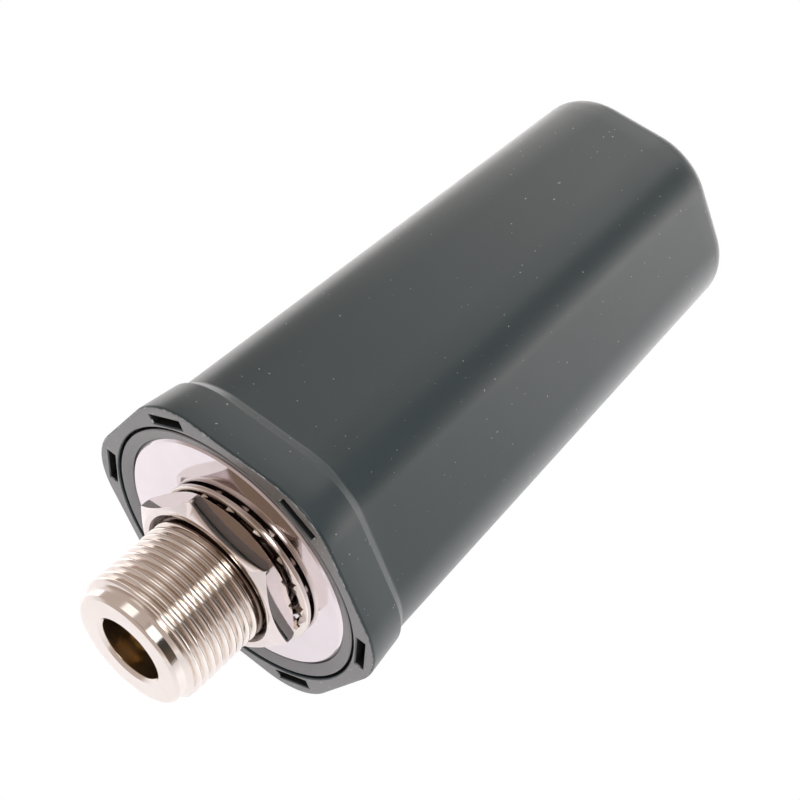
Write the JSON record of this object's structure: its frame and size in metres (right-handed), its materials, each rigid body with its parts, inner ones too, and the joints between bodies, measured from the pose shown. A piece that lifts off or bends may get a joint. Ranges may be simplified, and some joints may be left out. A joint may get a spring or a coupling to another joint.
{
  "type": "stubby antenna",
  "caption": "Stubby outdoor antenna: tapered hexagonal radome on a round plated base with a threaded female coaxial connector, nut and toothed lock washer.",
  "frame": {"origin": "On the antenna's axis, in the plane of the radome's rim, which is the face that meets a panel.", "axes": "+Z runs along the axis to the radome's tip and -Z along the connector. Two flats of the hexagonal radome face -Y and +Y, and two of its corners lie on the X axis."},
  "size_m": [0.0402, 0.0376, 0.0901],
  "materials": {
    "radome_plastic": "charcoal, satin moulded",
    "nickel_plate": "bright nickel plate, smooth",
    "seal_rubber": "dull grey",
    "adhesive": "cured, glossy",
    "nickel_shell": "bright nickel plate, turned",
    "contact_gold": "gold plate",
    "insulator_white": "waxy white",
    "black_rubber": "dull black",
    "nickel_nut": "bright nickel plate",
    "nickel_washer": "bright nickel plate, stamped",
    "board_laminate": "green solder mask",
    "copper_foil": "bare copper",
    "chip_ceramic": "brown, fired",
    "solder": "reflowed, satin",
    "holder_plastic": "black, moulded",
    "screw_steel": "zinc plated",
    "tip_foam": "closed-cell foam"
  },
  "bodies": {
    "root": {"radome": "radome_plastic", "base_plate": "nickel_plate", "face_seal": "seal_rubber", "adhesive_bead": "adhesive", "connector_body": "nickel_shell", "centre_contact": "contact_gold", "rear_insulator": "insulator_white", "front_insulator": "insulator_white", "insulator_bush": "insulator_white", "flange_o_ring": "black_rubber", "hex_nut": "nickel_nut", "lock_washer": "nickel_washer", "radiator_board": "board_laminate", "radiator_foil": "copper_foil", "ground_foil": "copper_foil", "matching_chips": "chip_ceramic", "pin_solder": "solder", "ground_solder": "solder", "board_holder": "holder_plastic", "holder_screws": "screw_steel", "tip_pad": "tip_foam"}
  },
  "joints": []
}
